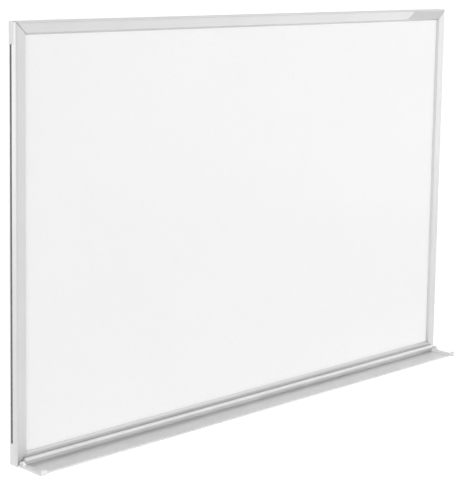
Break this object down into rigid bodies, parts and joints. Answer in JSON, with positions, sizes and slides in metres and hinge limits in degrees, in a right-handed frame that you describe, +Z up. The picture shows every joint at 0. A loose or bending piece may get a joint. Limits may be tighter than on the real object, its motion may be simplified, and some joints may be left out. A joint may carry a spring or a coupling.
{
  "type": "magnetic whiteboard",
  "caption": "Wall-hung magnetic whiteboard: white enamelled writing panel in a mitred aluminium frame, with a full-width pen tray below and wall brackets behind.",
  "frame": {"origin": "on the wall plane, at the centre of the rectangle of the four wall brackets' screw holes, which is also the middle of the frame's outline", "axes": "+X to the reader's right along the board, +Y from the writing side into the wall, +Z up"},
  "size_m": [1.5, 0.112, 1.0038],
  "materials": {
    "rail_aluminium": "satin",
    "corner_plastic": "matte",
    "white_enamel": "gloss",
    "honeycomb_board": "matte",
    "galvanised_sheet": "satin",
    "strip_plastic": "matte",
    "plate_grey": "satin",
    "tray_aluminium": "satin",
    "cap_plastic": "satin",
    "plug_plastic": "matte",
    "zinc_screw": "satin",
    "zinc_bracket": "satin"
  },
  "bodies": {
    "root": {"bead_plug_left": "plug_plastic", "bead_plug_right": "plug_plastic", "bottom_rail": "rail_aluminium", "core_panel": "honeycomb_board", "corner_block_bottom_left": "corner_plastic", "corner_block_bottom_right": "corner_plastic", "corner_block_top_left": "corner_plastic", "corner_block_top_right": "corner_plastic", "corner_screws": "zinc_screw", "end_cap_screws": "zinc_screw", "left_rail": "rail_aluminium", "nameplate": "plate_grey", "pen_tray": "tray_aluminium", "rear_sheet": "galvanised_sheet", "retaining_strip_bottom": "strip_plastic", "retaining_strip_left": "strip_plastic", "retaining_strip_right": "strip_plastic", "retaining_strip_top": "strip_plastic", "right_rail": "rail_aluminium", "top_rail": "rail_aluminium", "tray_clamp_screws": "zinc_screw", "tray_end_cap_left": "cap_plastic", "tray_end_cap_right": "cap_plastic", "tray_slot_nuts": "zinc_screw", "wall_bracket_bottom_left": "zinc_bracket", "wall_bracket_bottom_right": "zinc_bracket", "wall_bracket_top_left": "zinc_bracket", "wall_bracket_top_right": "zinc_bracket", "writing_sheet": "white_enamel"}
  },
  "joints": []
}
